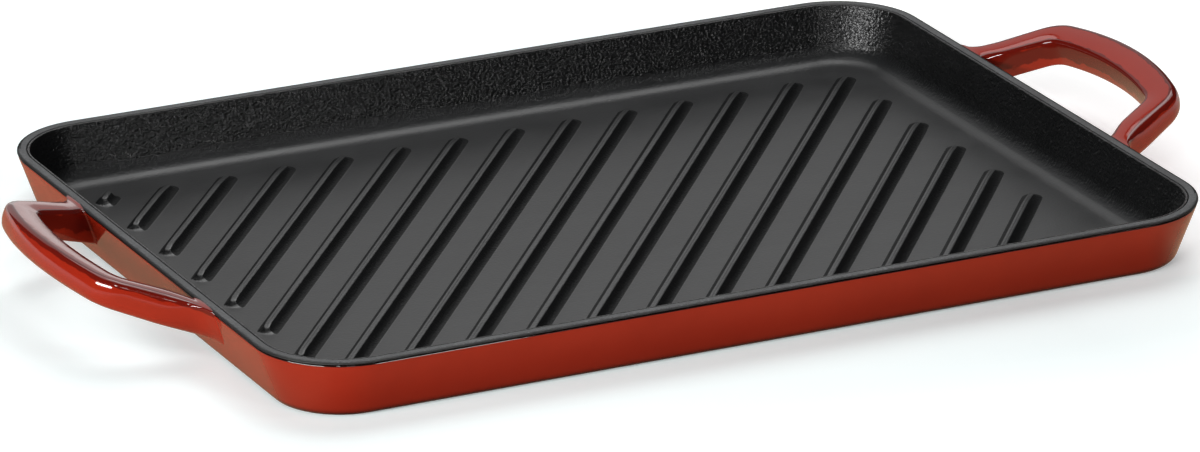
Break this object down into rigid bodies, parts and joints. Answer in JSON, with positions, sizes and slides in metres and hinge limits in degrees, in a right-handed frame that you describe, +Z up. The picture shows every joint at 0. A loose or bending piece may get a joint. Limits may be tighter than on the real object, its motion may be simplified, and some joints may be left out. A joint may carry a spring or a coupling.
{
  "type": "grill plate",
  "caption": "Shallow rectangular cast-iron grill plate with diagonal ribs, flared walls, a narrow rim and a loop handle at each end, red outside and black inside.",
  "frame": {"origin": "middle of the flat underside, at the height of the surface the plate stands on", "axes": "+X along the length, through both handles; +Y across the width, to the back; +Z up, out of the cooking side"},
  "size_m": [0.4292, 0.2578, 0.0336],
  "materials": {
    "red_enamel": "glossy vitreous enamel, dark orange-red, over cast iron",
    "black_enamel": "satin black enamel with a fine cast grain",
    "rim_land": "matt dark grey ground rim, finely pitted"
  },
  "bodies": {
    "root": {"cooking_floor": "black_enamel", "inner_lining": "black_enamel", "grill_rib_01": "black_enamel", "grill_rib_02": "black_enamel", "grill_rib_03": "black_enamel", "grill_rib_04": "black_enamel", "grill_rib_05": "black_enamel", "grill_rib_06": "black_enamel", "grill_rib_07": "black_enamel", "grill_rib_08": "black_enamel", "grill_rib_09": "black_enamel", "grill_rib_10": "black_enamel", "grill_rib_11": "black_enamel", "grill_rib_12": "black_enamel", "grill_rib_13": "black_enamel", "grill_rib_14": "black_enamel", "grill_rib_15": "black_enamel", "grill_rib_16": "black_enamel", "grill_rib_17": "black_enamel", "grill_rib_18": "black_enamel", "grill_rib_stub": "black_enamel", "outer_wall": "red_enamel", "handle_left": "red_enamel", "handle_right": "red_enamel", "rim_band": "rim_land"}
  },
  "joints": []
}
